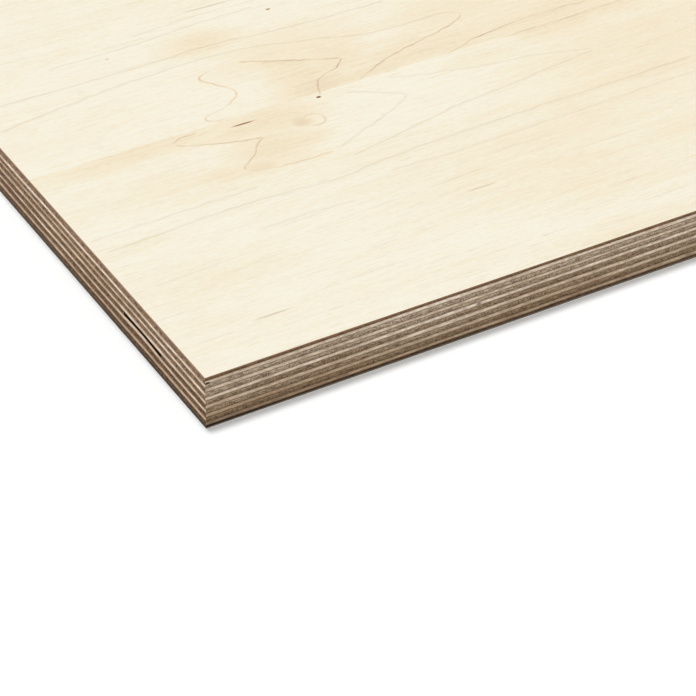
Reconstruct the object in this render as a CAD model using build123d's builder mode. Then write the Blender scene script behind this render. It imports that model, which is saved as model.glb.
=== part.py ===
from build123d import *
import os

# Furniture plywood lying on its back: birch plies laid crosswise in turn, a maple face laid
# from book-matched leaves, and a plain maple back. Lengths are in millimetres, +Z is up,
# +X follows the grain of the face, and the origin is under the middle of the sheet.

# The sheet as it was trimmed
sheet_length = 1220.0
sheet_width = 610.0

# The veneers as they are after pressing and sanding
maple_thickness = 0.45
outer_ply_thickness = 0.575
inner_ply_thickness = 1.45
inner_ply_count = 11

# The leaves of the maple face, from the front edge to the back edge
front_leaf_width = 115.0
full_leaf_count = 3

# The open knot hole in one core ply, which the saw cut across at the left edge.
# Plies are counted from the face down, and this one's grain follows the length.
knotted_ply = 8
knot_hole_along_grain = 32.0
knot_hole_across_grain = 24.5
knot_hole_inset = 4.0
knot_hole_from_corner = 38.9

# The ply under the hole, which the press pushed up into it as a low dome
bulge_height_share = 0.42
bulge_clearance = 0.5

# Places that follow from these sizes
left_edge = -sheet_length / 2
front_edge = -sheet_width / 2
knot_x = left_edge + knot_hole_inset
knot_y = front_edge + knot_hole_from_corner
bulge_height = bulge_height_share * inner_ply_thickness
bulge_radius = min(knot_hole_along_grain, knot_hole_across_grain) / 2 - bulge_clearance
leaf_width = (sheet_width - front_leaf_width) / full_leaf_count

ply_thicknesses = [
    outer_ply_thickness,
    *[inner_ply_thickness] * inner_ply_count,
    outer_ply_thickness,
]
core_top = maple_thickness + sum(ply_thicknesses)


def save(piece, name):
    """Labels a finished piece and writes it to a file of its own."""
    piece.part.label = name
    export_step(piece.part, f"parts/{name}.step")


def lay_veneer(bottom, thickness):
    """A veneer over the whole sheet."""
    with BuildPart() as veneer:
        with BuildSketch(Plane.XY.offset(bottom)):
            Rectangle(sheet_length, sheet_width)
        extrude(amount=thickness)
    return veneer


def lay_knotted_ply(bottom, thickness):
    """A core veneer that lost a knot, so that its edge is open where the saw met the hole."""
    with BuildPart() as veneer:
        with BuildSketch(Plane.XY.offset(bottom)):
            Rectangle(sheet_length, sheet_width)
            with Locations((knot_x, knot_y)):
                Ellipse(knot_hole_along_grain / 2, knot_hole_across_grain / 2, mode=Mode.SUBTRACT)
        extrude(amount=thickness)
    return veneer


def lay_bulged_ply(bottom, thickness):
    """The veneer below the knot hole, with the dome that rises into the hole."""
    dome_axis = Axis((knot_x, knot_y, bottom), (0, 0, 1))
    dome_side = Plane((knot_x, knot_y, bottom + thickness), x_dir=(1, 0, 0), z_dir=(0, -1, 0))
    with BuildPart() as veneer:
        with BuildSketch(Plane.XY.offset(bottom)):
            Rectangle(sheet_length, sheet_width)
        extrude(amount=thickness)
        with BuildSketch(dome_side):
            with BuildLine():
                crown = TangentArc((0, bulge_height), (bulge_radius, 0), tangent=(1, 0))
                Polyline(crown @ 1, (0, 0), crown @ 0)
            make_face()
        revolve(axis=dome_axis)
        # The saw trimmed the dome flush with the edge
        split(bisect_by=Plane.YZ.offset(left_edge), keep=Keep.TOP)
    return veneer


def lay_leaf(front, width):
    """One leaf of the face, as long as the sheet."""
    with BuildPart() as leaf:
        with BuildSketch(Plane.XY.offset(core_top)):
            with Locations((left_edge, front)):
                Rectangle(sheet_length, width, align=Align.MIN)
        extrude(amount=maple_thickness)
    return leaf


os.makedirs("parts", exist_ok=True)

save(lay_veneer(0, maple_thickness), "maple_back_veneer")

ply_top = core_top
for number, thickness in enumerate(ply_thicknesses, start=1):
    ply_bottom = ply_top - thickness
    if number == knotted_ply:
        ply = lay_knotted_ply(ply_bottom, thickness)
    elif number == knotted_ply + 1:
        ply = lay_bulged_ply(ply_bottom, thickness)
    else:
        ply = lay_veneer(ply_bottom, thickness)
    save(ply, f"birch_ply_{number:02d}")
    ply_top = ply_bottom

leaf_front = front_edge
for number, width in enumerate([front_leaf_width, *[leaf_width] * full_leaf_count], start=1):
    save(lay_leaf(leaf_front, width), f"maple_face_leaf_{number}")
    leaf_front += width

print(f"sheet {sheet_length} x {sheet_width} x {core_top + maple_thickness:.2f} mm")
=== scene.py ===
# %% [markdown]
# # A sheet of maple-faced birch plywood
#
# The object is a flat sheet of furniture plywood: peeled birch veneers, each laid with its grain
# across the last, pressed between a sliced maple face and a maple back, then trimmed square.
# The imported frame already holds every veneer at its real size. What it lacks is what the press, the
# saw and the sander left behind: glue lines that wander, end grain beside long grain, and the
# figure of the face. Those are made here, veneer by veneer, in the frame's own metres.

# %% Load the frame
import math

import bpy
import numpy as np
from mathutils import Matrix, Vector


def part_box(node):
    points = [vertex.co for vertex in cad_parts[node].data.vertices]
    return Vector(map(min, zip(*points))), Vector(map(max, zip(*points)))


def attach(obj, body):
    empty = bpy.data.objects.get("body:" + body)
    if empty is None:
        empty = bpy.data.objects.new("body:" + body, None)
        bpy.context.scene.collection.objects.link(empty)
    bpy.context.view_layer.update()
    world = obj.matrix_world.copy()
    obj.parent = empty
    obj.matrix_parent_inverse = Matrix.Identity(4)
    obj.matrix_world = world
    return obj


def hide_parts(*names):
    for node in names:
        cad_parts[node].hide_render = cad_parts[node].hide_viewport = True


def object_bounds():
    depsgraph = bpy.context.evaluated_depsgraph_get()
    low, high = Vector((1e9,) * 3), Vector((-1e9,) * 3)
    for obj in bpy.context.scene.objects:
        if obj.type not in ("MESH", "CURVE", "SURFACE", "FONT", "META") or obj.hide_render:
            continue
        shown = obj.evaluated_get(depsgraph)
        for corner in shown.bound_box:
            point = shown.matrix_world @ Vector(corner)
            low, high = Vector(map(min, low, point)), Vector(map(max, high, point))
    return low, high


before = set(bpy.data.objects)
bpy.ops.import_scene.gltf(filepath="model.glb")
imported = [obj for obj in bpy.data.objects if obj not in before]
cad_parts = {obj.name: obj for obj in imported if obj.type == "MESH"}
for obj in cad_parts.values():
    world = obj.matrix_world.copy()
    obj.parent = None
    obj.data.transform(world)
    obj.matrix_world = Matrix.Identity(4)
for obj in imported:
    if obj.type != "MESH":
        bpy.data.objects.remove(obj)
cad_low, cad_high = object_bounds()
MM = 0.001

ply_names = sorted(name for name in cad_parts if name.startswith("birch_ply_"))
leaf_names = sorted(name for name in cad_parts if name.startswith("maple_face_leaf_"))
back_name = "maple_back_veneer"
print("veneers:", len(ply_names), "plies,", len(leaf_names), "leaves, sheet", cad_high - cad_low)

# %% [markdown]
# ## The camera
#
# The photograph is a close view of one corner, so the corner is the natural place to measure from.
# The two edges that meet there, and the even pitch of the plies, fix where the camera stood: about
# 0.7 m away, looking down 37 degrees through a long lens. A camera's own axes are right, up and
# backwards, so its matrix is simply those three directions side by side.

# %% Camera
corner = Vector((cad_low.x, cad_low.y, cad_high.z))
camera_from_corner = Vector((-257.0, -498.2, 431.2)) * MM
heading = math.radians(58.67)
downward = math.radians(36.90)
roll = math.radians(1.07)
lens_mm = 131.64
nearest_seen = 10 * MM

ahead = Vector(
    (math.cos(downward) * math.cos(heading), math.cos(downward) * math.sin(heading), -math.sin(downward))
)
level_right = Vector((math.sin(heading), -math.cos(heading), 0))
level_up = level_right.cross(ahead)
right = math.cos(roll) * level_right + math.sin(roll) * level_up
up = math.cos(roll) * level_up - math.sin(roll) * level_right

camera_data = bpy.data.cameras.new("camera")
camera_data.lens = lens_mm
camera_data.clip_start = nearest_seen
camera = bpy.data.objects.new("camera", camera_data)
bpy.context.scene.collection.objects.link(camera)
camera.matrix_world = Matrix.Translation(corner + camera_from_corner) @ Matrix(
    (right, up, -ahead)
).transposed().to_4x4()
bpy.context.scene.camera = camera
print("camera at", camera.matrix_world.translation)

# %% [markdown]
# ## Nodes and colours
#
# Every material and every node tree below is built by one helper, which adds a node, sets its
# properties, and links or fills its inputs. Noise, mixing and colour ramps come up so often that
# each has a short function on top of it. Colours are written as the sRGB hex values that a painter
# would mix, and turned to the linear values that the renderer works in.

# %% Helpers
def add(tree, kind, inputs=(), out=0, **settings):
    """Adds one node, with inputs by order or by key, and returns one of its outputs."""
    made = tree.nodes.new(kind)
    for name, value in settings.items():
        setattr(made, name, value)
    for key, value in inputs.items() if isinstance(inputs, dict) else enumerate(inputs):
        for one in value if isinstance(value, list) else [value]:
            if isinstance(one, bpy.types.NodeSocket):
                tree.links.new(one, made.inputs[key])
            else:
                made.inputs[key].default_value = one
    return made.outputs[out] if len(made.outputs) else made


def linear(hex_colour):
    """Turns an sRGB hex colour such as F5ECD5 to linear red, green, blue and alpha."""
    shares = [int(hex_colour[i : i + 2], 16) / 255 for i in (0, 2, 4)]
    return tuple(s / 12.92 if s <= 0.04045 else ((s + 0.055) / 1.055) ** 2.4 for s in shares) + (1.0,)


def new_material(name):
    """A new material, its tree and its Principled shader."""
    material = bpy.data.materials.new(name)
    material.use_nodes = True
    return material, material.node_tree, material.node_tree.nodes["Principled BSDF"]


def grain_noise(tree, place, lengths, detail=2.0):
    """A noise whose features have about the given lengths, in the units of place."""
    scaled = add(tree, "ShaderNodeVectorMath", [place, tuple(1 / n for n in lengths)], operation="MULTIPLY")
    return add(tree, "ShaderNodeTexNoise", {"Vector": scaled, "Scale": 1.0, "Detail": detail})


# The Mix node keeps sockets for each kind of value: the first, the second and the result
MIX_SOCKETS = {"FLOAT": (2, 3, 0), "RGBA": (6, 7, 2)}


def mix(tree, share, first, second, kind="RGBA"):
    """Mixes two colours, or two plain values: the first where share is 0, the second where it is 1."""
    at_first, at_second, result = MIX_SOCKETS[kind]
    sockets = {0: share, at_first: first, at_second: second}
    return add(tree, "ShaderNodeMix", sockets, out=result, data_type=kind)


def ramp(tree, value, stops):
    """A colour ramp through the given places and linear colours, in order."""
    node = add(tree, "ShaderNodeValToRGB", [value]).node
    marks = node.color_ramp.elements
    for mark, (at, colour) in zip(marks, (stops[0], stops[-1])):
        mark.position = at
        mark.color = colour
    for at, colour in stops[1:-1]:
        marks.new(at).color = colour
    return node.outputs[0]


print("maple face in linear light:", [round(c, 3) for c in linear("F5ECD5")])

# %% [markdown]
# ## The studio
#
# The sheet lies on a white table. Paint alone would leave the table a little short of white, so it
# also glows, but only for rays that look at it and not for rays that carry its light: that lifts it
# to plain white, and the shadow stays. A matt laminate shows no reflection of the sheet.

# %% Table
floor_half = 30.0
floor_drop = 0.2 * MM
floor_glow = 0.08

floor_mesh = bpy.data.meshes.new("floor")
floor_mesh.from_pydata(
    [(x, y, cad_low.z - floor_drop) for x, y in ((-1, -1), (1, -1), (1, 1), (-1, 1))], [], [(0, 1, 2, 3)]
)
floor_mesh.transform(Matrix.Diagonal((floor_half, floor_half, 1, 1)))
floor = bpy.data.objects.new("floor", floor_mesh)
bpy.context.scene.collection.objects.link(floor)


def looking_rays(tree):
    """1 for rays that show a thing, straight, by reflection or through glass, and 0 for rays of light."""
    path = add(tree, "ShaderNodeLightPath").node.outputs
    seen = add(tree, "ShaderNodeMath", [path["Is Camera Ray"], path["Is Glossy Ray"]], operation="MAXIMUM")
    return add(tree, "ShaderNodeMath", [seen, path["Is Transmission Ray"]], operation="MAXIMUM")


table_white, tree, shader = new_material("table_white_laminate")
shader.inputs["Base Color"].default_value = linear("F6F9FA")
shader.inputs["Roughness"].default_value = 0.9
shader.inputs["Specular IOR Level"].default_value = 0.0
shader.inputs["Emission Color"].default_value = linear("FFFFFF")
glow = add(tree, "ShaderNodeMath", [looking_rays(tree), floor_glow], operation="MULTIPLY")
tree.links.new(glow, shader.inputs["Emission Strength"])
floor_mesh.materials.append(table_white)
print("table", 2 * floor_half, "m wide")

# %% [markdown]
# The main light is high and a little behind, so the shadow is a narrow grey band along the front
# edge and next to nothing at the left. A broad lamp from the left and the front fills in the two
# near edges. Both are suns, which light the whole sheet alike. With the sky, the light on the face
# adds up to one, so a colour renders about as it is written.

# %% Lamps and surroundings
sky_light = 0.30
key_light = 0.55 * math.pi
key_softness_deg = 9.6
towards_key = (-0.002, 0.127, 1.0)
fill_light = 0.48 * math.pi
fill_softness_deg = 40
towards_fill = (-1.0, -0.6, 0.45)

world = bpy.data.worlds.new("studio")
bpy.context.scene.world = world
world.use_nodes = True
tree = world.node_tree
background = tree.nodes["Background"]
background.inputs["Color"].default_value = linear("FFFFFF")
sky = add(tree, "ShaderNodeMapRange", [looking_rays(tree), 0.0, 1.0, sky_light, 1.0])
tree.links.new(sky, background.inputs["Strength"])


def add_lamp(name, strength, softness_deg, towards):
    """A distant soft lamp in the given direction from the sheet."""
    data = bpy.data.lights.new(name, "SUN")
    data.energy = strength
    data.angle = math.radians(softness_deg)
    lamp = bpy.data.objects.new(name, data)
    bpy.context.scene.collection.objects.link(lamp)
    lamp.rotation_euler = Vector(towards).to_track_quat("Z", "Y").to_euler()


add_lamp("key", key_light, key_softness_deg, towards_key)
add_lamp("fill", fill_light, fill_softness_deg, towards_fill)
bpy.context.scene.view_settings.view_transform = "Standard"
print("lamps:", [lamp.name for lamp in bpy.data.lights])

# %% [markdown]
# ## Birch plies at a sawn edge
#
# Rotary-cut birch looks pale and streaky where the saw ran along its grain, and brown and speckled
# where it cut the fibres across, because open pores drink the light. Each of the two gets a function
# of its own. Both are noises stretched to the size of the real streaks, dashes and pores. A picture
# could show them too, but it would repeat, and it would have to be fitted to every edge by hand.

# %% Long grain and end grain
# How long the wood's features are in millimetres, along X, along Y and up through the veneer
long_streak = (1.5, 1.5, 0.30)
long_break = (6, 6, 2.2)
end_dash = (1.8, 1.8, 0.30)
end_pore = (0.45, 0.45, 0.36)
# A lathe check is measured along the edge, up and into the sheet. It leans this far per millimetre up.
lathe_check = (0.6, 0.7, 40)
check_lean = 0.8
check_darkness = 0.7


def long_grain(tree, place, from_middle):
    """Colour and streaks of long grain, pale in the middle of the veneer, with broken lengths."""
    streak = grain_noise(tree, place, long_streak, 3.0)
    length = grain_noise(tree, place, long_break, 3.0)
    pale = add(tree, "ShaderNodeMapRange", [from_middle, 1.0, 0.30], interpolation_type="SMOOTHSTEP")
    streaked = add(tree, "ShaderNodeMapRange", [streak, 0.32, 0.68, 0.48, 1.20])
    broken = add(tree, "ShaderNodeMapRange", [length, 0.34, 0.66, 0.56, 1.14])
    pale = add(tree, "ShaderNodeMath", [pale, streaked], operation="MULTIPLY")
    pale = add(tree, "ShaderNodeMath", [pale, broken], operation="MULTIPLY")
    return mix(tree, pale, linear("8C725B"), linear("F1DFC9")), streak


def end_grain(tree, place, across, grain_axis, loose_face, dark, light):
    """Colour and pores of end grain, with cracks on the side that came loose from the knife."""
    # The growth rings of a peeled veneer lie flat, so they show as short level dashes.
    # The pores are a tenth of a millimetre wide, and drawn coarser to show at all.
    dash = grain_noise(tree, place, end_dash, 2.0)
    pore = grain_noise(tree, place, end_pore, 1.0)
    mixed = add(tree, "ShaderNodeMath", [dash, pore], operation="ADD")
    mixed = add(tree, "ShaderNodeMapRange", [mixed, 0.80, 1.20])
    colour = mix(tree, mixed, linear(dark), linear(light))

    # Lathe checks: short slanting cracks that the peeling knife left on the loose side
    axes = add(tree, "ShaderNodeSeparateXYZ", [place]).node.outputs
    along_edge = axes[1 - grain_axis]
    leaning = add(tree, "ShaderNodeMath", [axes[2], check_lean, along_edge], operation="MULTIPLY_ADD")
    check_place = add(tree, "ShaderNodeCombineXYZ", [leaning, axes[2], axes[grain_axis]])
    check = grain_noise(tree, check_place, lathe_check, 1.0)
    from_loose = add(tree, "ShaderNodeMath", [across, loose_face], operation="SUBTRACT")
    from_loose = add(tree, "ShaderNodeMath", [from_loose], operation="ABSOLUTE")
    loose_side = add(tree, "ShaderNodeMapRange", [from_loose, 0.60, 0.12])
    cracked = add(tree, "ShaderNodeMapRange", [check, 0.55, 0.64])
    cracked = add(tree, "ShaderNodeMath", [cracked, loose_side], operation="MULTIPLY")
    cracked = add(tree, "ShaderNodeMath", [cracked, check_darkness], operation="MULTIPLY")
    colour = mix(tree, cracked, colour, linear("3F2F22"))
    loose_shade = add(tree, "ShaderNodeMapRange", [from_loose, 0.1, 0.8, 0.84, 1.08])
    return add(tree, "ShaderNodeVectorMath", {0: colour, "Scale": loose_shade}, operation="SCALE"), pore


print("pores are drawn", end_pore[0], "mm wide")

# %% [markdown]
# Which of the two grains a face shows depends only on the way it points, so one material serves all
# four edges of a ply: it compares the face's normal with the ply's grain. A value that runs from 0
# to 1 through the veneer, stored on the mesh, places the resin stain at the glue lines and the lathe
# checks on the loose side. Two more stored values say how light the ply is, one for each grain.

# %% Birch material
# Small pits in the front edge, painted as dark spots of shade: millimetres from the corner and below the
# face, reach, darkness
painted_pit_shades = [((0.7, 2.15), (0.9, 0.42), 0.95), ((91.0, 7.0), (0.8, 0.40), 0.7)]
speck_rim_share = 1.3
speck_core_share = 0.6
patch_length = (32, 32, 5)
# A dark ply is redder too, because resin takes the blue first, up to what the wood can hold
red_power = -0.22
blue_power = 0.28
reddest_tone = 0.45
sawn_relief = 0.05 * MM


def darkest(tree, values):
    """The greatest of several values."""
    most = values[0]
    for value in values[1:]:
        most = add(tree, "ShaderNodeMath", [most, value], operation="MAXIMUM")
    return most


def painted_pit_shade(tree, place, centre, reach, darkness):
    """How dark the painted shade of a pit makes a place of the front edge that is given in millimetres."""
    middle = corner / MM + Vector((centre[0], 0, -centre[1]))
    offset = add(tree, "ShaderNodeVectorMath", [place, middle], operation="SUBTRACT")
    scale = (1 / reach[0], 1 / reach[1], 1 / reach[1])
    offset = add(tree, "ShaderNodeVectorMath", [offset, scale], operation="MULTIPLY")
    size = add(tree, "ShaderNodeVectorMath", [offset], out="Value", operation="LENGTH")
    return add(tree, "ShaderNodeMapRange", [size, speck_rim_share, speck_core_share, 0.0, darkness])


def birch_material(name, grain_axis, loose_face, end_dark, end_light):
    """Sawn edges of peeled birch with its grain along X (0) or Y (1), loose below (0) or above (1)."""
    material, tree, shader = new_material(name)
    coordinates = add(tree, "ShaderNodeTexCoord").node.outputs
    in_mm = {0: coordinates["Object"], "Scale": 1 / MM}
    place = add(tree, "ShaderNodeVectorMath", in_mm, operation="SCALE")
    normal = add(tree, "ShaderNodeSeparateXYZ", [coordinates["Normal"]]).node.outputs
    across, long_tone, end_tone = (
        add(tree, "ShaderNodeAttribute", out="Fac", attribute_name=stored)
        for stored in ("across", "long_tone", "end_tone")
    )

    # How far from the middle of the veneer, 0 there and 1 at the glue lines
    from_middle = add(tree, "ShaderNodeMath", [across, 2.0, -1.0], operation="MULTIPLY_ADD")
    from_middle = add(tree, "ShaderNodeMath", [from_middle], operation="ABSOLUTE")

    # A face that points along the grain shows end grain
    facing = add(tree, "ShaderNodeMath", [normal[grain_axis]], operation="ABSOLUTE")
    is_end = add(tree, "ShaderNodeMath", [facing, 0.5], operation="GREATER_THAN")
    long_colour, streak = long_grain(tree, place, from_middle)
    end_colour, pore = end_grain(tree, place, across, grain_axis, loose_face, end_dark, end_light)
    colour = mix(tree, is_end, long_colour, end_colour)

    # Resin has soaked a tenth of a millimetre or so into both faces of each veneer
    soaked = add(tree, "ShaderNodeMapRange", [from_middle, 0.80, 0.98, 0.0, 0.45])
    colour = mix(tree, soaked, colour, linear("5C4634"))

    # Each ply is a little lighter or darker than the next, and patchy along its length
    patch = grain_noise(tree, place, patch_length)
    patch = add(tree, "ShaderNodeMapRange", [patch, 0.30, 0.70, 0.86, 1.10])
    tone = mix(tree, is_end, long_tone, end_tone, "FLOAT")
    bright = add(tree, "ShaderNodeMath", [tone, patch], operation="MULTIPLY")
    held = add(tree, "ShaderNodeMath", [bright, reddest_tone], operation="MAXIMUM")
    more_red = add(tree, "ShaderNodeMath", [held, red_power], operation="POWER")
    less_blue = add(tree, "ShaderNodeMath", [held, blue_power], operation="POWER")
    tint = add(tree, "ShaderNodeCombineXYZ", [more_red, 1.0, less_blue])
    tint = add(tree, "ShaderNodeVectorMath", {0: tint, "Scale": bright}, operation="SCALE")
    colour = add(tree, "ShaderNodeVectorMath", [colour, tint], operation="MULTIPLY")

    # Pits in the front edge are painted dark as shade, not cut into the edge
    specks = darkest(tree, [painted_pit_shade(tree, place, *speck) for speck in painted_pit_shades])
    colour = mix(tree, specks, colour, linear("1E140D"))
    tree.links.new(colour, shader.inputs["Base Color"])
    shader.inputs["Roughness"].default_value = 0.8
    shader.inputs["Specular IOR Level"].default_value = 0.2

    relief = mix(tree, is_end, streak, pore, "FLOAT")
    bump = add(tree, "ShaderNodeBump", {"Strength": 0.35, "Distance": sawn_relief, "Height": relief})
    tree.links.new(bump, shader.inputs["Normal"])
    return material


birch_along_length = birch_material("birch_peeled_sawn_grain_along_length", 0, 1, "3A2818", "B08C6D")
birch_along_width = birch_material("birch_peeled_sawn_grain_along_width", 1, 0, "6D5844", "B6A084")
print("birch nodes:", len(birch_along_length.node_tree.nodes))

# %% [markdown]
# The flat faces of the plies are soaked with cured resin. They only show inside the open knot
# hole, together with the bark-brown wall that the knot left, so one dark mottled finish does both.
# It is near black, darker than the resin alone, as painted shade inside the hole.

# %% Resin-stained birch with painted shade
blotch_length = (4 * MM, 4 * MM, 0.5 * MM)

birch_stained_and_shaded, tree, shader = new_material("birch_resin_stained_painted_shade")
place = add(tree, "ShaderNodeTexCoord", out="Object")
blotch = grain_noise(tree, place, blotch_length, 3.0)
# Near black: resin stain with the shade of the knot hole painted in
colour = mix(tree, blotch, linear("0B0705"), linear("241812"))
tree.links.new(colour, shader.inputs["Base Color"])
shader.inputs["Roughness"].default_value = 0.85
shader.inputs["Specular IOR Level"].default_value = 0.1
print("stained birch nodes:", len(tree.nodes))

# %% [markdown]
# ## The figure of the maple face
#
# The face is sliced maple, book-matched: each leaf is the mirror image of its neighbour, like two
# open pages, so the arched figure meets its reflection at the seam. Sliced veneer shows growth
# rings as thin lines, wide apart at the crown and close together towards the leaf's edges.
# The lines by the corner are what one would know this sheet by, so they are drawn one by one. A Float
# Curve node is a drawing tool for that: it runs smoothly through a few chosen points, and costs one
# look-up however many points it has. Lengths are in millimetres from the corner, first along the
# front edge, which the grain follows, then back from it. The seam lies about 115 mm back.

# %% Growth lines and stains by the corner
# Each line has its points, how dark it is, the side that is stained (1 where its second number
# grows, -1 where it shrinks, 0 for neither), and how dark and how far the stain is. A curve needs a
# first number that only grows, so lines that run across the grain have their two numbers swapped.
warm_lines_along = [
    ([(90, 146.4), (96, 143.6), (106, 138.6), (114, 135), (121.6, 131.8)], 0.60, -1, 0.27, 16),
    ([(120, 116.4), (128, 121), (138, 125), (148, 128), (160, 131), (170, 135), (173, 138)],
     0.54, 1, 0.18, 8),
    ([(155.6, 117), (160, 118.6), (170, 121.6), (184, 123.6), (200, 124.2), (216, 123.8)],
     0.54, 1, 0.16, 12),
    ([(176, 116.8), (190, 117.2), (226, 118.4), (246, 119)], 0.46, -1, 0.26, 13),
    ([(-8, 114.3), (40, 115), (94, 115.9)], 0.20, 0, 0.0, 1),
    ([(48, 111), (49.5, 112.6), (52.4, 113.4), (58, 114)], 0.52, -1, 0.16, 5),
    ([(48, 111), (49.5, 109.4), (52.4, 108), (62, 104.4), (69, 102.4), (75, 101.2)], 0.52, 1, 0.14, 7),
    ([(61, 87.2), (62.6, 85.9), (66.8, 84.7), (72.7, 83.7), (90, 83.5)], 0.46, 1, 0.14, 6),
]
warm_lines_across = [
    ([(115, 103.8), (120, 106), (123.8, 108.6), (127, 117), (131.8, 121.6)], 0.64, -1, 0.26, 12),
    ([(115.4, 75.6), (116.6, 68), (118.8, 64), (122, 69), (124.4, 76), (130, 80.8), (137, 77),
      (142.4, 74.2), (146.4, 82.6)], 0.46, 0, 0.0, 1),
    ([(86.6, 61.4), (88.4, 61.5), (90.2, 63.2), (93.2, 66.8), (97.8, 71), (101.2, 75)], 0.58, 1, 0.20, 11),
]
grey_lines_along = [
    ([(4, 144.4), (22, 147.6), (36, 149.8), (49, 151.6), (66, 152.8), (85, 154), (98, 152.4), (112, 149),
      (124, 145.8), (136, 141.6), (152, 140.8), (169, 140.4), (173, 138.4)], 0.60, 0, 0.0, 1),
    ([(10, 158.8), (46, 159), (66, 159.4), (86, 160.4), (104, 159), (120, 158), (154, 158)],
     0.60, 0, 0.0, 1),
    ([(33, 172.2), (52, 172.4), (66, 172.8), (80, 174.4), (96, 175.6), (112, 176.4)], 0.50, 0, 0.0, 1),
    ([(66, 178), (84, 179.6), (104, 180.8)], 0.40, 0, 0.0, 1),
    ([(112, 112), (120, 107.6), (125, 104), (129, 101.2)], 0.50, 0, 0.0, 1),
    ([(94, 84.4), (100, 87.6), (112, 92), (125, 98.4), (129, 101.2)], 0.48, 0, 0.0, 1),
    ([(128, 114), (136, 110.4), (148, 107.4), (166, 103.6), (176, 102.6), (188, 99), (196, 97),
      (198, 95.6)], 0.42, 0, 0.0, 1),
    ([(94, 78.4), (108, 80.8), (124, 84), (140, 87.6), (160, 89.6), (176, 92), (190, 94), (198, 95.4)],
     0.52, 0, 0.0, 1),
    ([(2, 75.2), (18, 76), (40, 76.6), (60, 77.2)], 0.45, 0, 0.0, 1),
    ([(4, 68), (20, 69), (44, 70.4), (60, 70.4), (84, 69.2), (100, 71), (116, 72.4), (140, 73.4),
      (170, 74.2), (200, 74.8), (224, 75.6)], 0.58, -1, 0.12, 3),
    ([(100, 65), (128, 64.4), (152, 64.8), (192, 66.4), (218, 67.4)], 0.42, 0, 0.0, 1),
    ([(48, 56.4), (66, 56.8), (82, 56)], 0.42, 0, 0.0, 1),
]
# Stains and specks: centre, reach along the grain and across it, and darkness. The seam parts the
# stains sharply: each belongs to the leaf behind it or to the leaf in front of it. They are partly the
# wood's own stains and partly painted sheen, as mirrored leaves catch the light oppositely, so one
# leaf is darker beside the seam where its neighbour is lighter. Their border lies this far back at the
# corner, and goes further back by the slope, as the figure lies a little askew.
seam_at_corner = 114.4
seam_slope = 0.0165
stains_and_sheen_behind = [
    ((105, 129), (12, 11), 0.20),
    ((106, 120), (13, 8), 0.25),
    ((128, 118), (26, 6), 0.20),
    ((150, 124), (34, 11), 0.18),
    ((206, 124), (48, 14), 0.19),
    ((112, 145), (28, 10), 0.15),
    ((120, 134), (13, 11), 0.20),
    ((172, 141), (26, 13), 0.16),
    ((85, 164), (12, 8), 0.16),
    ((98, 197), (16, 8), 0.07),
]
stains_and_sheen_in_front = [
    ((40, 113), (44, 5), 0.15),
    ((80, 109), (18, 7), 0.23),
    ((90, 103.4), (3.4, 2.9), 0.38),
    ((74, 95), (13, 9), 0.22),
    ((86, 93), (8, 4), 0.18),
    ((66, 87), (6.5, 3.6), 0.25),
    ((55, 88.2), (10, 4), 0.18),
    ((34, 90), (22, 8), 0.06),
    ((25, 42), (24, 9), 0.05),
    ((155, 34), (32, 14), 0.10),
    ((200, 42), (24, 10), 0.12),
    ((164, 4), (40, 5), 0.07),
    ((164, 109), (16, 5), 0.12),
    ((208, 76), (36, 6), 0.15),
    ((216, 92), (46, 22), 0.13),
    ((176, 60), (66, 24), 0.09),
]
# A pin knot, which shows as a thin ring
knot_ring_centre = (94.6, 102.6)
knot_ring_radius = 3.4
knot_ring_darkness = 0.36
resin_streaks = [
    ((73.3, 111.4), (4.6, 0.45), 0.90),
    ((102.6, 113.8), (0.9, 0.60), 1.0),
    ((116.4, 172.2), (0.9, 0.45), 0.9),
]
mineral_streaks = [
    ((99, 184), (8.5, 0.36), 1.0),
    ((119.5, 43.2), (4.8, 0.28), 1.0),
    ((31.2, 16.9), (5.4, 0.36), 1.0),
    ((53.4, 168.8), (0.7, 0.5), 0.9),
]
print("drawn lines:", len(warm_lines_along) + len(warm_lines_across) + len(grey_lines_along))

# %% [markdown]
# Drawing on a surface without a picture means asking, at every place, how far away the stroke is.
# A growth line asks that of its curve and a stain of its oval, and both fade over the distance.

# %% Drawing tools
# Millimetres. The curves work in shares of the span.
figure_span = 256.0
line_half_width = 0.72
line_core = 0.05
line_run_out = 1.0
stain_foot = 0.2
stain_overrun = 1.0
stain_fade = 9.0


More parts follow.
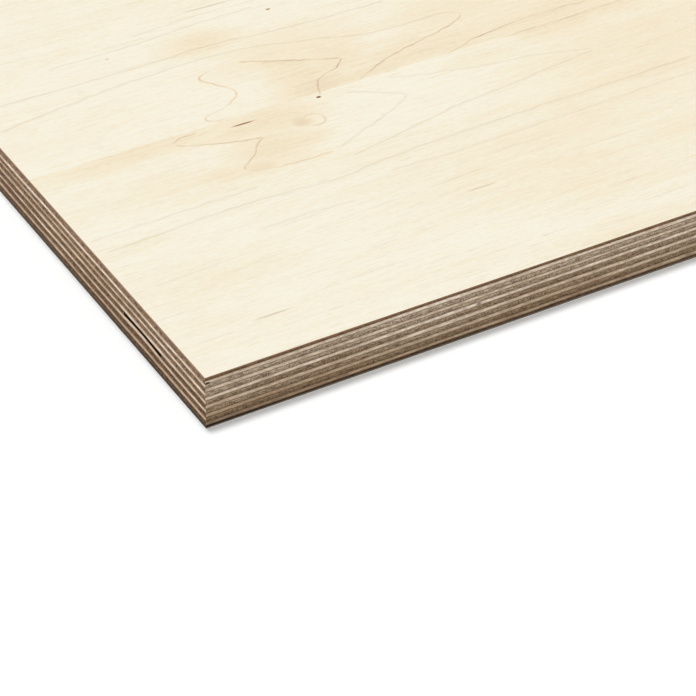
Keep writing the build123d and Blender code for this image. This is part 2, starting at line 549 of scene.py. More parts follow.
def drawn_line(tree, along, across, points, darkness, stain_side, stain, stain_reach):
    """How dark one growth line makes a place that is given in shares of the figure's span."""
    curve = add(tree, "ShaderNodeFloatCurve", {"Value": along}).node
    track = curve.mapping.curves[0].points
    shares = [(a / figure_span, b / figure_span) for a, b in points]
    track[0].location, track[1].location = shares[0], shares[-1]
    for share in shares[1:-1]:
        track.new(*share)
    curve.mapping.update()

    # Millimetres at right angles to the line, and beyond its nearer end
    (first, low), (last, high) = points[0], points[-1]
    middle = (first + last) / 2
    half_length = (last - first) / 2
    upright = figure_span * math.cos(math.atan2(high - low, last - first))
    offset = add(tree, "ShaderNodeMath", [across, curve.outputs[0]], operation="SUBTRACT")
    offset = add(tree, "ShaderNodeMath", [offset, upright], operation="MULTIPLY")
    beyond = add(tree, "ShaderNodeMath", [along, middle / figure_span], operation="SUBTRACT")
    beyond = add(tree, "ShaderNodeMath", [beyond], operation="ABSOLUTE")
    beyond = add(tree, "ShaderNodeMath", [beyond, figure_span, -half_length], operation="MULTIPLY_ADD")

    gap = add(tree, "ShaderNodeMath", [offset], operation="ABSOLUTE")
    line = add(tree, "ShaderNodeMapRange", [gap, line_half_width, line_core, 0.0, darkness])
    ended = add(tree, "ShaderNodeMapRange", [beyond, line_half_width, -line_run_out])
    line = add(tree, "ShaderNodeMath", [line, ended], operation="MULTIPLY")
    if not stain_side:
        return line

    # The stain begins sharply at the line and fades away on one side
    inward = add(tree, "ShaderNodeMath", [offset, stain_side], operation="MULTIPLY")
    shade = add(tree, "ShaderNodeMapRange", [inward, stain_reach, 0.0, 0.0, stain])
    sided = add(tree, "ShaderNodeMapRange", [inward, -stain_foot, stain_foot])
    ended = add(tree, "ShaderNodeMapRange", [beyond, stain_overrun, -stain_fade],
                interpolation_type="SMOOTHSTEP")
    shade = add(tree, "ShaderNodeMath", [shade, sided], operation="MULTIPLY")
    shade = add(tree, "ShaderNodeMath", [shade, ended], operation="MULTIPLY")
    return add(tree, "ShaderNodeMath", [line, shade], operation="MAXIMUM")


def spot(tree, place, centre, reach, darkness, edge):
    """An oval stain or speck that fades out over the given share of its reach."""
    offset = add(tree, "ShaderNodeVectorMath", [place, (*centre, 0)], operation="SUBTRACT")
    scale = (1 / reach[0], 1 / reach[1], 0)
    offset = add(tree, "ShaderNodeVectorMath", [offset, scale], operation="MULTIPLY")
    size = add(tree, "ShaderNodeVectorMath", [offset], out="Value", operation="LENGTH")
    return add(tree, "ShaderNodeMapRange", [size, 1 + edge, 1 - edge, 0.0, darkness],
               interpolation_type="SMOOTHSTEP")


print("a line is", 2 * line_half_width, "mm wide at its foot")

# %% [markdown]
# With these tools the figure by the corner is put together: lines that shake a little and are worn
# here and there, stains that end sharply at the seam, partly the wood's own and partly painted sheen,
# a pin knot, and a few dark specks. It comes back as three values: how much a place is warmed, how
# much it is dulled, and how dark a speck is.

# %% The drawn figure
# In millimetres, apart from the shares
shake_length = 5
shake_reach = (2.4, 1.6, 0)
worn_length = (10, 8, 1)
knot_ring_core = 0.1
seam_softness = 0.3
stain_edge_share = 0.9
speck_edge_share = 0.5


def drawn_figure(tree, place):
    """Warmth, dulling and specks of the drawn figure at a place in millimetres."""
    # No growth line is quite smooth, so the lines are read at a slightly shaken place
    shake_values = {"Vector": place, "Scale": 1 / shake_length, "Detail": 2.0}
    shake = add(tree, "ShaderNodeTexNoise", shake_values, out="Color")
    shake = add(tree, "ShaderNodeVectorMath", [shake, (0.5, 0.5, 0.5)], operation="SUBTRACT")
    shake = add(tree, "ShaderNodeVectorMath", [shake, shake_reach], operation="MULTIPLY")
    flat_place = add(tree, "ShaderNodeVectorMath", [place, (1, 1, 0)], operation="MULTIPLY")
    shaken = add(tree, "ShaderNodeVectorMath", [flat_place, shake], operation="ADD")
    in_span = add(tree, "ShaderNodeVectorMath", {0: shaken, "Scale": 1 / figure_span}, operation="SCALE")
    u, v, _ = add(tree, "ShaderNodeSeparateXYZ", [in_span]).node.outputs
    warm_lines = [drawn_line(tree, u, v, *line) for line in warm_lines_along]
    warm_lines += [drawn_line(tree, v, u, *line) for line in warm_lines_across]
    grey_lines = [drawn_line(tree, u, v, *line) for line in grey_lines_along]

    ring_middle = (*knot_ring_centre, 0)
    off_ring = add(tree, "ShaderNodeVectorMath", [shaken, ring_middle], out="Value", operation="DISTANCE")
    off_ring = add(tree, "ShaderNodeMath", [off_ring, knot_ring_radius], operation="SUBTRACT")
    off_ring = add(tree, "ShaderNodeMath", [off_ring], operation="ABSOLUTE")
    ring_values = [off_ring, line_half_width, knot_ring_core, 0.0, knot_ring_darkness]
    warm_lines.append(add(tree, "ShaderNodeMapRange", ring_values))

    worn = grain_noise(tree, place, worn_length, 1.0)
    worn = add(tree, "ShaderNodeMapRange", [worn, 0.32, 0.64, 0.66, 1.0])
    warm = add(tree, "ShaderNodeMath", [darkest(tree, warm_lines), worn], operation="MULTIPLY")
    grey = add(tree, "ShaderNodeMath", [darkest(tree, grey_lines), worn], operation="MULTIPLY")

    # The stains, partly painted sheen that mirrored leaves catch oppositely, end sharply at the seam
    seam = add(tree, "ShaderNodeMath", [u, -seam_slope, v], operation="MULTIPLY_ADD")
    seam_front = (seam_at_corner - seam_softness) / figure_span
    seam_rear = (seam_at_corner + seam_softness) / figure_span
    behind = add(tree, "ShaderNodeMapRange", [seam, seam_front, seam_rear])
    front_stain_and_sheen, rear_stain_and_sheen = (
        darkest(tree, [spot(tree, shaken, *stain, stain_edge_share) for stain in stains])
        for stains in (stains_and_sheen_in_front, stains_and_sheen_behind)
    )
    stain = mix(tree, behind, front_stain_and_sheen, rear_stain_and_sheen, "FLOAT")
    resin, mineral = (
        darkest(tree, [spot(tree, flat_place, *streak, speck_edge_share) for streak in streaks])
        for streaks in (resin_streaks, mineral_streaks)
    )
    return darkest(tree, [warm, stain]), darkest(tree, [grey, mineral]), resin


print("stains:", len(stains_and_sheen_in_front) + len(stains_and_sheen_behind))

# %% [markdown]
# Away from the drawn lines the growth rings come from a rule. A slice cuts the trunk's rings at some
# depth from the pith, so a ring's distance from the crown follows the sides of a right triangle. The
# trunk tapers, so that depth grows along the sheet and the rings close into arches. A slow noise
# makes the arches uneven. Warm years, pale years and the stains of the heart are read from the same
# rings, so that they arch with them.

# %% Growth rings by rule
# Where the seam and the crown are, and how the slice lies in the trunk, in millimetres but for the taper
seam_across = 115.0
crown_from_seam = 21.0
pith_depth = 35.0
trunk_taper = 0.045
ring_pitch = 4.6
# The noise in the depth: its lengths, and its strength near the crown and far from it
arch_length = (260, 60, 1)
arch_near = 10.0
arch_far = 80.0
arch_strength_near = 9.0
arch_strength_far = 4.0
# Lengths of a ring line's fading and of its dashes, along the sheet in millimetres, then in rings
ring_fade = (45, 0.27, 1)
ring_dash = (5, 0.27, 1)
# Lengths of the warm years and of the heart's stains, first outwards and then along the sheet
warm_year = (11, 700, 1)
heart_stain = (7, 240, 1)
heart_full = 8.0
heart_end = 44.0
leaf_seed_step = 7.0
# The rule is left out where the lines are drawn: as far along the sheet, and beside the seam
drawn_along = 200.0
ruled_along = 330.0
drawn_beside_seam = 36.0
ruled_beside_seam = 48.0
# A ring line rises slowly and ends sharply, as a year's wood does
ring_levels = [(0.60, 0), (0.86, 0.14), (0.93, 0.7), (0.99, 0)]
ring_stops = [(at, (level, level, level, 1)) for at, level in ring_levels]


def ring_figure(tree, fibre):
    """Growth rings of the rest of the sheet, as thin broken lines, and its warm bands and stains."""
    axes = add(tree, "ShaderNodeSeparateXYZ", [fibre]).node.outputs
    off_seam = add(tree, "ShaderNodeMath", [axes[1], seam_across], operation="SUBTRACT")
    from_seam = add(tree, "ShaderNodeMath", [off_seam], operation="ABSOLUTE")
    reach = add(tree, "ShaderNodeMath", [from_seam, crown_from_seam], operation="SUBTRACT")
    reach = add(tree, "ShaderNodeMath", [reach], operation="ABSOLUTE")

    # The depth of the slice, and the right triangle that gives the ring
    page = add(tree, "ShaderNodeCombineXYZ", [axes[0], from_seam, axes[2]])
    arch = grain_noise(tree, page, arch_length)
    arch = add(tree, "ShaderNodeMath", [arch, 0.5], operation="SUBTRACT")
    calm = add(tree, "ShaderNodeMapRange",
               [reach, arch_near, arch_far, arch_strength_near, arch_strength_far])
    depth = add(tree, "ShaderNodeMath", [axes[0], trunk_taper, pith_depth], operation="MULTIPLY_ADD")
    depth = add(tree, "ShaderNodeMath", [arch, calm, depth], operation="MULTIPLY_ADD")
    depth = add(tree, "ShaderNodeMath", [depth, depth], operation="MULTIPLY")
    radius = add(tree, "ShaderNodeMath", [reach, reach, depth], operation="MULTIPLY_ADD")
    radius = add(tree, "ShaderNodeMath", [radius], operation="SQRT")
    ring = add(tree, "ShaderNodeMath", [radius, ring_pitch], operation="DIVIDE")
    phase = add(tree, "ShaderNodeMath", [ring], operation="FRACT")
    lines = ramp(tree, phase, ring_stops)

    # A ring line fades in and out along its length, and breaks up into dashes
    number = add(tree, "ShaderNodeMath", [ring], operation="FLOOR")
    row = add(tree, "ShaderNodeCombineXYZ", [axes[0], number, axes[2]])
    fade = grain_noise(tree, row, ring_fade, 1.0)
    fade = add(tree, "ShaderNodeMapRange", [fade, 0.40, 0.70])
    dash = grain_noise(tree, row, ring_dash, 1.0)
    dash = add(tree, "ShaderNodeMapRange", [dash, 0.34, 0.62, 0.10, 1.0])
    lines = add(tree, "ShaderNodeMath", [lines, fade], operation="MULTIPLY")
    lines = add(tree, "ShaderNodeMath", [lines, dash], operation="MULTIPLY")

    # Warm years and pale years alternate, and stains follow the crown, each on its own leaf
    years = add(tree, "ShaderNodeCombineXYZ", [radius, axes[0], axes[2]])
    bands = grain_noise(tree, years, warm_year, 3.0)
    bands = add(tree, "ShaderNodeMapRange", [bands, 0.42, 0.66, 0.0, 0.12])
    leaf_seed = add(tree, "ShaderNodeMath", [off_seam, 0.0], operation="GREATER_THAN")
    leaf_seed = add(tree, "ShaderNodeMath", [leaf_seed, leaf_seed_step], operation="MULTIPLY")
    leaf_seed = add(tree, "ShaderNodeCombineXYZ", {2: leaf_seed})
    stain_place = add(tree, "ShaderNodeVectorMath", [years, leaf_seed], operation="ADD")
    stain = grain_noise(tree, stain_place, heart_stain, 3.0)
    stain = add(tree, "ShaderNodeMapRange", [stain, 0.48, 0.66, 0.0, 0.20])
    by_crown = add(tree, "ShaderNodeMapRange", [reach, heart_end, heart_full])
    stain = add(tree, "ShaderNodeMath", [stain, by_crown], operation="MULTIPLY")
    warm = darkest(tree, [bands, stain])

    # By the corner the drawn lines and stains take the place of the crown's
    beyond = add(tree, "ShaderNodeMapRange", [axes[0], drawn_along, ruled_along])
    outside = add(tree, "ShaderNodeMapRange", [from_seam, drawn_beside_seam, ruled_beside_seam])
    allowed = darkest(tree, [beyond, outside])
    lines = add(tree, "ShaderNodeMath", [lines, allowed], operation="MULTIPLY")
    warm = add(tree, "ShaderNodeMath", [warm, beyond], operation="MULTIPLY")
    return warm, lines


print("rings are at least", ring_pitch, "mm apart")

# %% [markdown]
# ## Sliced and sanded maple
#
# Maple is close-grained and almost white, so the eye reads it by small things: streaks a few tenths
# of a millimetre wide and a centimetre long, ring lines that come and go, and a satin surface that
# the sander left. The drawn figure, the rings and the fine streaks add up to two values. Warmth
# takes the cream to tan and red-brown, and dulling only greys it.

# %% Maple face material
# Lengths of the fine figure in millimetres, along the grain and across it
fibre_wander_length = (110, 28, 1)
fibre_wander = 3.5
cloud_length = (90, 14, 1)
row_length = (26, 1.5, 1)
streak_length = (8, 0.45, 1)
fleck_length = (2.2, 0.6, 1)
dulling_share = 0.47
sanded_relief = 0.02 * MM
warmth_hues = [
    (0.0, "F6F1E0"),
    (0.12, "F4EBD4"),
    (0.25, "F1E3C6"),
    (0.40, "E9D8BA"),
    (0.60, "D7BFA2"),
    (0.80, "B88F71"),
    (1.0, "5E3420"),
]


def maple_face_material():
    """Book-matched sliced maple. The figure attribute holds millimetres along and across the leaf."""
    material, tree, shader = new_material("maple_sliced_sanded")
    place = add(tree, "ShaderNodeAttribute", out="Vector", attribute_name="figure")

    # The fibres wander slowly to and fro
    aside = grain_noise(tree, place, fibre_wander_length)
    aside = add(tree, "ShaderNodeMapRange", [aside, 0.0, 1.0, -fibre_wander, fibre_wander])
    aside = add(tree, "ShaderNodeCombineXYZ", {1: aside})
    fibre = add(tree, "ShaderNodeVectorMath", [place, aside], operation="ADD")
    cloud = grain_noise(tree, fibre, cloud_length, 2.0)
    rows = grain_noise(tree, fibre, row_length, 3.0)
    fine = grain_noise(tree, fibre, streak_length, 3.0)
    fleck = grain_noise(tree, fibre, fleck_length, 2.0)

    # Warm darkening goes from cream through tan to red-brown
    drawn_warmth, drawn_dulling, specks = drawn_figure(tree, place)
    ring_warmth, ring_dulling = ring_figure(tree, fibre)
    warm = darkest(tree, [drawn_warmth, ring_warmth])
    for value, low, high, least, most in (
        (cloud, 0.38, 0.70, 0.0, 0.07),
        (fine, 0.40, 0.70, 0.0, 0.04),
        (rows, 0.46, 0.66, 0.0, 0.07),
        (fleck, 0.30, 0.70, -0.05, 0.08),
    ):
        part = add(tree, "ShaderNodeMapRange", [value, low, high, least, most])
        warm = add(tree, "ShaderNodeMath", [warm, part], operation="ADD")
    shade = ramp(tree, darkest(tree, [warm, specks]), [(at, linear(hue)) for at, hue in warmth_hues])

    # Grey darkening only dulls the cream
    streaks = add(tree, "ShaderNodeMapRange", [fine, 0.54, 0.76, 0.0, 0.34])
    dulling = darkest(tree, [drawn_dulling, ring_dulling, streaks])
    dulling = add(tree, "ShaderNodeMath", [dulling, dulling_share], operation="MULTIPLY")
    colour = mix(tree, dulling, shade, linear("BCA27C"))
    tree.links.new(colour, shader.inputs["Base Color"])

    gloss = add(tree, "ShaderNodeMapRange", [fine, 0.3, 0.7, 0.55, 0.68])
    tree.links.new(gloss, shader.inputs["Roughness"])
    shader.inputs["Specular IOR Level"].default_value = 0.25
    bump = add(tree, "ShaderNodeBump", {"Strength": 0.15, "Distance": sanded_relief, "Height": fine})
    tree.links.new(bump, shader.inputs["Normal"])
    return material


maple_face = maple_face_material()
print("maple face nodes:", len(maple_face.node_tree.nodes))

# %% [markdown]
# The sawn edge of the maple is only half a millimetre high. Across the grain it is tan, and along the
# grain it is a darker brown. The back's edge is almost black across the grain and grey-brown along
# it: partly glue stain and partly painted shade, where the sheet meets the table.

# %% Maple edge materials
edge_pore_length = (2.5 * MM, 2.5 * MM, 0.3 * MM)


def maple_edge_material(name, end_dark, end_light, long_dark, long_light):
    """The sawn edge of a thin maple veneer, with its grain along X."""
    material, tree, shader = new_material(name)
    coordinates = add(tree, "ShaderNodeTexCoord").node.outputs
    normal = add(tree, "ShaderNodeSeparateXYZ", [coordinates["Normal"]]).node.outputs
    is_end = add(tree, "ShaderNodeMath", [normal[0]], operation="ABSOLUTE")
    pore = grain_noise(tree, coordinates["Object"], edge_pore_length, 3.0)
    end = mix(tree, pore, linear(end_dark), linear(end_light))
    long = mix(tree, pore, linear(long_dark), linear(long_light))
    colour = mix(tree, is_end, long, end)
    tree.links.new(colour, shader.inputs["Base Color"])
    shader.inputs["Roughness"].default_value = 0.75
    shader.inputs["Specular IOR Level"].default_value = 0.2
    return material


maple_edge = maple_edge_material("maple_sawn_edge", "8F6E55", "B69578", "724A31", "A57A57")
# The back's edge colours hold painted shade from the table as well as glue stain
maple_back_edge = maple_edge_material(
    "maple_sawn_edge_glue_stain_and_painted_shade", "2E2012", "483320", "5E5143", "897966"
)
print("maple edge nodes:", len(maple_edge.node_tree.nodes))

# %% [markdown]
# ## Veneers between wandering glue lines
#
# In the press the veneers bend a little, so the glue lines at a sawn edge wander by a tenth of a
# millimetre or two. Neighbouring veneers share a glue line, so the wander must be a property of the
# line and not of the veneer, or gaps would open. Geometry Nodes suit this rule: one tree takes a
# veneer's flat outline, raises it to a slab, and moves its lower and upper rim by a noise that
# depends only on the place and on the number of the glue line there.

# %% The veneer tree: inputs and slab
merge_distance = 0.001 * MM

veneer_tree = bpy.data.node_groups.new("veneer_between_glue_lines", "GeometryNodeTree")
tree = veneer_tree
veneer_sockets = {}
for kind, names in (
    ("NodeSocketGeometry", ["Geometry"]),
    ("NodeSocketFloat", [f"{side} {value}" for side in ("Lower", "Upper")
                         for value in ("Level", "Line", "Wander", "Bow", "Swell")]),
    ("NodeSocketFloat", ["Wander Length", "Bow Reach", "Swell Length"]),
    ("NodeSocketVector", ["Bow Centre", "Swell Corner"]),
    ("NodeSocketMaterial", ["Face Material", "Edge Material"]),
):
    for name in names:
        veneer_sockets[name] = tree.interface.new_socket(name, in_out="INPUT", socket_type=kind)
tree.interface.new_socket("Geometry", in_out="OUTPUT", socket_type="NodeSocketGeometry")
given = add(tree, "NodeGroupInput").node.outputs

# The outline becomes a closed slab one unit high
raised = add(tree, "GeometryNodeExtrudeMesh",
             {"Mesh": given["Geometry"], "Offset": (0, 0, 1), "Offset Scale": 1.0, "Individual": False})
underside = add(tree, "GeometryNodeFlipFaces", [given["Geometry"]])
slab = add(tree, "GeometryNodeJoinGeometry", {0: [raised, underside]})
slab = add(tree, "GeometryNodeMergeByDistance", {"Geometry": slab, "Distance": merge_distance})
print("inputs of the tree:", len(veneer_sockets))

# %% [markdown]
# Now every point of the slab goes to its height. It takes the values of the glue line that it lies
# on, and adds three things to that line's level: the wander, a bow by the knot hole, and a swell.

# %% The veneer tree: the height of each point
seed_step = 17.3

position = add(tree, "ShaderNodeSeparateXYZ", [add(tree, "GeometryNodeInputPosition")]).node.outputs
is_upper = add(tree, "FunctionNodeCompare", {"A": position["Z"], "B": 0.5}, operation="GREATER_THAN")
level, line, sway, bow, swell = (
    add(tree, "GeometryNodeSwitch", {"Switch": is_upper, "False": given[f"Lower {value}"],
                                     "True": given[f"Upper {value}"]}, input_type="FLOAT")
    for value in ("Level", "Line", "Wander", "Bow", "Swell")
)

# The wander of the line, and its bow by the knot hole
in_plan = add(tree, "ShaderNodeCombineXYZ", [position["X"], position["Y"]])
in_waves = add(tree, "ShaderNodeVectorMath", [in_plan, given["Wander Length"]], operation="DIVIDE")
line_seed = add(tree, "ShaderNodeMath", [line, seed_step], operation="MULTIPLY")
wave = add(tree, "ShaderNodeTexNoise", {"Vector": in_waves, "W": line_seed, "Scale": 1.0, "Detail": 3.0},
           noise_dimensions="4D")
wave = add(tree, "ShaderNodeMapRange", [wave, 0.30, 0.70, -1.0, 1.0], clamp=False)
off_bow = add(tree, "ShaderNodeVectorMath", [in_plan, given["Bow Centre"]], out="Value",
              operation="DISTANCE")
off_bow = add(tree, "ShaderNodeMath", [off_bow, given["Bow Reach"]], operation="DIVIDE")
fall = add(tree, "ShaderNodeMath", [off_bow, off_bow], operation="MULTIPLY")
fall = add(tree, "ShaderNodeMath", [fall, -1.0], operation="MULTIPLY")
fall = add(tree, "ShaderNodeMath", [fall], operation="EXPONENT")
height = add(tree, "ShaderNodeMath", [wave, sway, level], operation="MULTIPLY_ADD")
height = add(tree, "ShaderNodeMath", [fall, bow, height], operation="MULTIPLY_ADD")

# The swell grows from the corner, is greatest half its length away, and dies out again
off_corner = add(tree, "ShaderNodeVectorMath", [in_plan, given["Swell Corner"]], out="Value",
                 operation="DISTANCE")
half_turns = add(tree, "ShaderNodeMapRange", [off_corner, 0.0, given["Swell Length"], 0.0, math.pi])
swelling = add(tree, "ShaderNodeMath", [half_turns], operation="SINE")
height = add(tree, "ShaderNodeMath", [swelling, swell, height], operation="MULTIPLY_ADD")
new_place = add(tree, "ShaderNodeCombineXYZ", [position["X"], position["Y"], height])
print("nodes so far:", len(tree.nodes))

# %% [markdown]
# The birch needs to know how far through its veneer a place is, so that share is stored on the mesh
# before the points move: 0 on the lower rim and 1 on the upper one. Last, the level faces and the
# upright edges each get their material.

# %% The veneer tree: what stays on the mesh
kept = add(tree, "GeometryNodeStoreNamedAttribute", {"Geometry": slab, "Name": "across", "Value": is_upper},
           data_type="FLOAT", domain="POINT")
moved = add(tree, "GeometryNodeSetPosition", {"Geometry": kept, "Position": new_place})
facing = add(tree, "ShaderNodeSeparateXYZ", [add(tree, "GeometryNodeInputNormal")]).node.outputs["Z"]
facing = add(tree, "ShaderNodeMath", [facing], operation="ABSOLUTE")
upright = add(tree, "FunctionNodeCompare", {"A": facing, "B": 0.5}, operation="LESS_THAN")
real = add(tree, "GeometryNodeRealizeInstances", [moved])
dressed = add(tree, "GeometryNodeSetMaterial", {"Geometry": real, "Material": given["Face Material"]})
dressed = add(tree, "GeometryNodeSetMaterial",
              {"Geometry": dressed, "Selection": upright, "Material": given["Edge Material"]})
add(tree, "NodeGroupOutput", [dressed])
print("veneer tree nodes:", len(tree.nodes))

# %% [markdown]
# ## The glue lines
#
# Counted from the top, line 0 is the sanded face, the last is the back, and the glue lines lie
# between. Their levels come from the frame. The press never squeezes a sheet quite evenly: away
# from this corner the middle lines climb by half a millimetre, and under the open knot hole the
# veneers bow up into it.

# %% Lines and their wander
veneer_order = [leaf_names[0], *ply_names, back_name]
# A veneer's underside is always flat in the frame, while one top has a dome on it
line_levels = [cad_high.z] + [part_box(name)[0].z for name in veneer_order]
# For each line from the face down: how far it lies off its level, how far it climbs away from the
# corner, how far it wanders, and how far it bows up at the knot hole
line_drift_mm = [0, 0, -0.04, 0.04, 0.10, 0.09, 0.17, 0.19, 0.12, 0.04, 0, -0.04, -0.07, -0.09, -0.03, 0]
line_swell_mm = [0, 0, 0.10, 0, 0, 0.22, 0.55, 0.62, 0.55, 0.50, 0.52, 0.44, 0.40, 0.40, 0.12, 0]
line_wander_mm = [0, 0.06, 0.10, *[0.19] * 11, 0.05, 0]
line_bow_mm = [0] * 8 + [0.08, 0.66, 0.56, 0.25, 0.08, 0, 0, 0]
wander_length = 26 * MM
swell_length = 400 * MM
bow_reach = 10 * MM
# The knot hole of the frame's solid: its middle from the left edge and the corner, and its half axes
knot_inset = 4 * MM
knot_from_corner = 38.9 * MM
knot_half_along = 16 * MM
knot_half_across = 12.25 * MM
knot = Vector((cad_low.x + knot_inset, cad_low.y + knot_from_corner, 0))
print("glue lines at", [round(level / MM, 2) for level in line_levels])

# %% [markdown]
# A veneer's outline needs points every few millimetres along its rim, where the glue lines wander,
# and none inside. Long triangles that cross one another's boxes would make every ray slow, so the
# face is laid out in strips that run straight across the sheet, with short rows at the two ends.

# %% Outlines
rim_step = 2.5 * MM
end_band = 30 * MM
wall_steps = 28
same_place_digits = 7


def even_steps(start, end):
    """Places from start to end, about a rim step apart."""
    count = max(1, round((end - start) / rim_step))
    return [start + (end - start) * i / count for i in range(count + 1)]


def knot_wall():
    """The wall of the knot hole, from its rear end at the sawn edge round to its front end."""
    half_turn = math.acos(-knot_inset / knot_half_along)
    turns = [half_turn - 2 * half_turn * i / wall_steps for i in range(wall_steps + 1)]
    return [
        (knot.x + knot_half_along * math.cos(turn), knot.y + knot_half_across * math.sin(turn))
        for turn in turns
    ]


def outline(low, high, with_knot=False):
    """A flat face in strips, counter-clockwise, with the knot hole open at its left edge if asked."""
    xs = even_steps(low.x + end_band, high.x - end_band)
    ys = even_steps(low.y, high.y)
    indices = {}
    faces = []

    def at(x, y):
        place = (round(x, same_place_digits), round(y, same_place_digits))
        return indices.setdefault(place, len(indices))

    holed = [y for y in ys if abs(y - knot.y) < knot_half_across] if with_knot else []
    for front, rear in zip(ys, ys[1:]):
        if front not in holed and rear not in holed:
            faces.append([at(low.x, front), at(xs[0], front), at(xs[0], rear), at(low.x, rear)])
        faces.append([at(xs[-1], front), at(high.x, front), at(high.x, rear), at(xs[-1], rear)])
    if with_knot:
        rows = ys[ys.index(holed[0]) - 1 : ys.index(holed[-1]) + 2]
        faces.append([at(xs[0], y) for y in rows] + [at(low.x, rows[-1])]
                     + [at(x, y) for x, y in knot_wall()] + [at(low.x, rows[0])])
    for left, right in zip(xs, xs[1:]):
        right_side = ys if right == xs[-1] else [low.y, high.y]
        left_side = ys[::-1] if left == xs[0] else [high.y, low.y]
        faces.append([at(right, y) for y in right_side] + [at(left, y) for y in left_side])
    mesh = bpy.data.meshes.new("outline")
    mesh.from_pydata([(x, y, 0) for x, y in indices], [], faces)
    return mesh


print("points of a plain outline:", len(outline(cad_low, cad_high).vertices))

# %% [markdown]
# A modifier is worked out anew whenever its values change. The sheet needs that only once, so each
# veneer's modifier gets its values, is evaluated into a plain mesh, and is taken off again.

# %% One veneer
def make_veneer(name, piece_name, line, face_material, edge_material, with_knot=False):
    """Turns a node's outline into a slab between its two glue lines, as a plain mesh."""
    low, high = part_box(name)
    piece = bpy.data.objects.new(piece_name, outline(low, high, with_knot))
    bpy.context.scene.collection.objects.link(piece)
    modifier = piece.modifiers.new("veneer", "NODES")
    modifier.node_group = veneer_tree
    values = {"Wander Length": wander_length, "Bow Reach": bow_reach, "Swell Length": swell_length,
              "Bow Centre": knot, "Swell Corner": corner.xy.to_3d(),
              "Face Material": face_material, "Edge Material": edge_material}
    for side, number in (("Upper", line), ("Lower", line + 1)):
        values[f"{side} Level"] = line_levels[number] + line_drift_mm[number] * MM
        values[f"{side} Line"] = float(number)
        values[f"{side} Wander"] = line_wander_mm[number] * MM
        values[f"{side} Bow"] = line_bow_mm[number] * MM
        values[f"{side} Swell"] = line_swell_mm[number] * MM
    for key, value in values.items():
        modifier[veneer_sockets[key].identifier] = value
    evaluated = piece.evaluated_get(bpy.context.evaluated_depsgraph_get())
    mesh = bpy.data.meshes.new_from_object(evaluated)
    piece.modifiers.remove(modifier)
    piece.data = mesh
    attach(piece, "root")
    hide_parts(name)
    return piece


print("values of the tree that are set:", len(veneer_sockets) - 1)

# %% [markdown]
# ## The thirteen plies
#
# The plies take turns: the first runs across the sheet, the next along it, and so on. The outer two
# were sanded thin and soaked with resin, so they are dark, and the last is darker still as painted
# shade where the sheet meets the table. The lower plies are a little darker too, partly by their own
# tone and partly as painted shade towards the table, most of all by the corner, and two plies lose
# light along the left edge. So each point gets two values: how light the long grain is there, and how
# light the end grain is. The wall of the knot hole gets the stained finish, because bark lined it,
# with the shade of the hole painted in as well.

# %% Lay the plies
knotted_ply = 8
# How light each ply is, from the face down, the lower plies darkened partly by painted shade towards the
# table, and what share of that is lost by the corner
long_tones = [0.37, 1.01, 1.08, 0.86, 0.96, 1.01, 0.89, 0.86, 0.80, 0.69, 0.63, 0.58, 0.13]
end_tones = [0.38, 0.98, 1.40, 0.81, 1.16, 0.75, 0.80, 0.58, 0.88, 0.52, 0.64, 0.38, 0.24]
left_corner_shades = [0, 0.04, 0.12, 0, 0, 0, 0.04, 0.29, 0.06, 0.17, 0.14, 0.20, 0.42]
front_corner_shades = [0, 0.18, 0.08, 0, 0, 0.10, 0.04, 0.20, 0.06, 0.38, 0.12, 0.48, 0.90]
corner_reach = 55 * MM
# The plies that lose light along the left edge, the share that they lose, and where it begins and ends
fade_shares = {5: 0.34, 7: 0.16}
fade_from = 35 * MM
fade_to = 70 * MM
edge_tolerance = 0.01 * MM


def stain_and_shade_knot_wall(ply):
    """Gives the wall of the knot hole the dark finish of resin stain and painted shade, and leaves the sawn
    edge as it is.
    """
    stained = ply.data.materials.find(birch_stained_and_shaded.name)
    for face in ply.data.polygons:
        in_hole = (face.center.xy - knot.xy).length < knot_half_along
        if in_hole and face.center.x > cad_low.x + edge_tolerance:
            face.material_index = stained


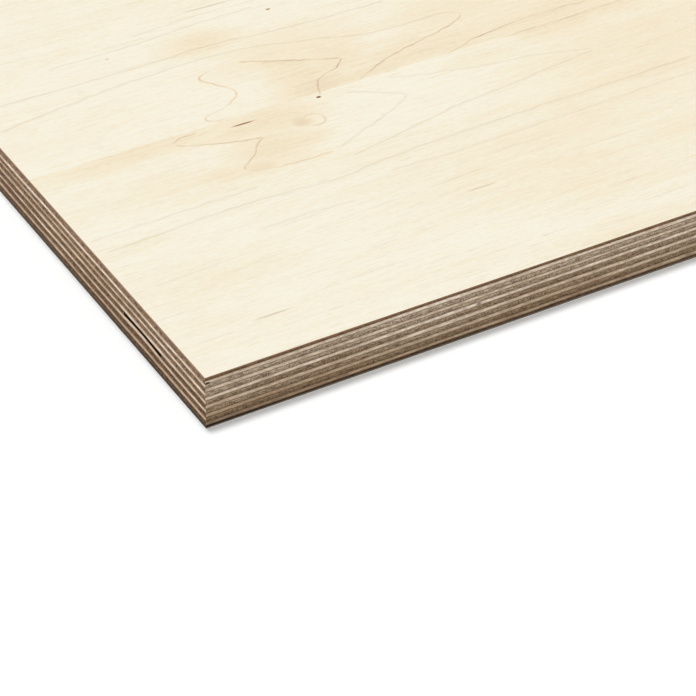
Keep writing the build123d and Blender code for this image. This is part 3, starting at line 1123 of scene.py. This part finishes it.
for number, name in enumerate(ply_names, start=1):
    birch = birch_along_width if number % 2 else birch_along_length
    ply = make_veneer(name, f"sawn_birch_{number:02d}", number, birch_stained_and_shaded, birch, number == knotted_ply)
    from_corner = np.array([point.co - corner for point in ply.data.vertices])[:, :2]
    near = np.exp(-((np.linalg.norm(from_corner, axis=1) / corner_reach) ** 2))
    faded = fade_shares.get(number, 0) * np.interp(from_corner[:, 1], [fade_from, fade_to], [0, 1])
    # An odd ply shows its end grain at the front edge and its long grain at the left one
    long_shades, end_shades = left_corner_shades, front_corner_shades
    if number % 2 == 0:
        long_shades, end_shades = end_shades, long_shades
    for kind, tones, shades in (
        ("long_tone", long_tones, long_shades),
        ("end_tone", end_tones, end_shades),
    ):
        values = tones[number - 1] * (1 - shades[number - 1] * near) * (1 - faded)
        ply.data.attributes.new(kind, "FLOAT", "POINT").data.foreach_set("value", values.astype(np.float32))
    if number == knotted_ply:
        stain_and_shade_knot_wall(ply)
print("plies:", len(ply_names), "with", len(ply.data.polygons), "faces each")

# %% [markdown]
# ## The leaves of the face and the back
#
# The four leaves are slices of one log, laid as mirrored pairs. The figure attribute gives each
# point its place on the log: leaves 1 and 2 as the photograph shows them, leaves 3 and 4 the same
# pages again one pair further on, a little shifted, as the next slices of a log would be.

# %% Lay the leaves
pair_pitch = 330.0
later_pair_shift = -34.0
pair_seed_step = 5.0
# The back is another slice, from further along and across the log
back_shift_along = 400.0
back_shift_across = -90.0
back_seed = 20.0


def store_figure(piece, shift_along, shift_across, seed):
    """Writes each point's place on the log, in millimetres, for the maple to read."""
    mesh = piece.data
    places = np.empty(len(mesh.vertices) * 3, np.float32)
    mesh.vertices.foreach_get("co", places)
    places = places.reshape(-1, 3)
    places[:, 0] = (places[:, 0] - cad_low.x) / MM + shift_along
    places[:, 1] = (places[:, 1] - cad_low.y) / MM + shift_across
    places[:, 2] = seed
    mesh.attributes.new("figure", "FLOAT_VECTOR", "POINT").data.foreach_set("vector", places.ravel())


for number, name in enumerate(leaf_names, start=1):
    leaf = make_veneer(name, f"sanded_maple_leaf_{number}", 0, maple_face, maple_edge)
    pair = (number - 1) // 2
    store_figure(leaf, pair * later_pair_shift, -pair * pair_pitch, pair * pair_seed_step)

back = make_veneer(back_name, "sanded_maple_back", len(veneer_order) - 1, maple_face, maple_back_edge)
store_figure(back, back_shift_along, back_shift_across, back_seed)
print("leaves:", len(leaf_names), "faces in the last:", len(leaf.data.polygons))
